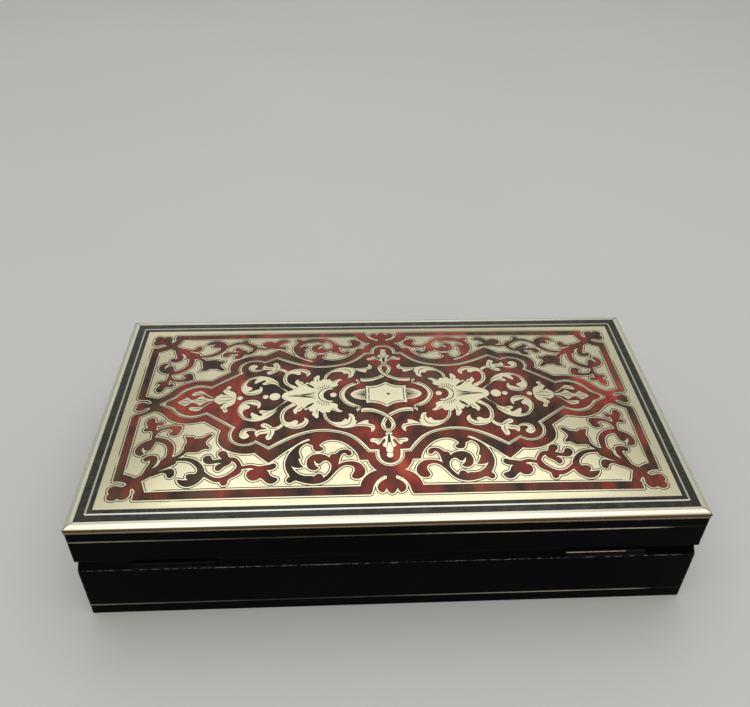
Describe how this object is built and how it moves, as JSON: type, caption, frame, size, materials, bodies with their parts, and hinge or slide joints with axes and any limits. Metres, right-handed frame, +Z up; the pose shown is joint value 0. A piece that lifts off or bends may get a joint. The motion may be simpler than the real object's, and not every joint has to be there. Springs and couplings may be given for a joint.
{
  "type": "marquetry box",
  "caption": "Oblong hinged box with a low crowned lid in brass and tortoiseshell scroll marquetry, black walls with inlaid brass lines, a brass top moulding, butt hinges and an inset lock.",
  "frame": {"origin": "middle of the underside, on the surface the box stands on", "axes": "+X along the box to its right seen from the keyhole side, +Y from the keyhole side to the hinge side, +Z up"},
  "size_m": [0.2908, 0.1559, 0.0709],
  "materials": {
    "ebonised_wood": "french polished black",
    "carcass_wood": "oiled",
    "brass": "polished, lightly tarnished",
    "tortoiseshell": "polished, mottled red and dark brown",
    "steel": "filed bright",
    "lining": "short velvet pile"
  },
  "bodies": {
    "base": {"base_bottom_board": "carcass_wood", "base_front_wall": "ebonised_wood", "base_back_wall": "ebonised_wood", "base_left_wall": "ebonised_wood", "base_right_wall": "ebonised_wood", "base_string_inlay": "brass", "base_floor_lining": "lining", "base_wall_lining": "lining", "hinge_left_base_leaf": "brass", "hinge_right_base_leaf": "brass", "hinge_pins": "steel", "hinge_base_screws": "steel", "lock_case": "steel", "lock_screws": "steel", "keyhole_escutcheon": "brass"},
    "lid": {"lid_top_board": "carcass_wood", "lid_front_wall": "ebonised_wood", "lid_back_wall": "ebonised_wood", "lid_left_wall": "ebonised_wood", "lid_right_wall": "ebonised_wood", "lid_string_inlay": "brass", "lid_lining": "lining", "moulding_front": "brass", "moulding_back": "brass", "moulding_left": "brass", "moulding_right": "brass", "hinge_left_lid_leaf": "brass", "hinge_right_lid_leaf": "brass", "hinge_lid_screws": "steel", "lid_link_plate": "brass", "link_plate_screws": "steel", "ebony_border_outer": "ebonised_wood", "top_brass_line": "brass", "ebony_border_inner": "ebonised_wood", "marquetry_frame": "brass", "marquetry_spandrels": "brass", "tortoiseshell_ground": "tortoiseshell", "strapwork": "brass", "shield": "brass", "oval_straps": "brass", "knots": "brass", "fleurs": "brass", "palmettes": "brass", "leaf_scrolls": "brass", "stem_scrolls": "brass", "thorn_scrolls": "brass", "flowers": "brass", "volutes": "brass", "bells": "brass", "pendants": "brass", "pendant_leaves": "brass", "beads": "brass"},
    "lock_bolt": {"lock_bolt": "steel"}
  },
  "joints": [
    {"name": "lid_hinge", "type": "hinge", "parent": "base", "child": "lid", "pos_m": [0, 0.07661, 0.0365], "axis": [-1, 0, 0], "range_deg": [0, 100]},
    {"name": "lock_bolt_slide", "type": "slide", "parent": "base", "child": "lock_bolt", "axis": [1, 0, 0], "range_m": [0, 0.004]}
  ]
}
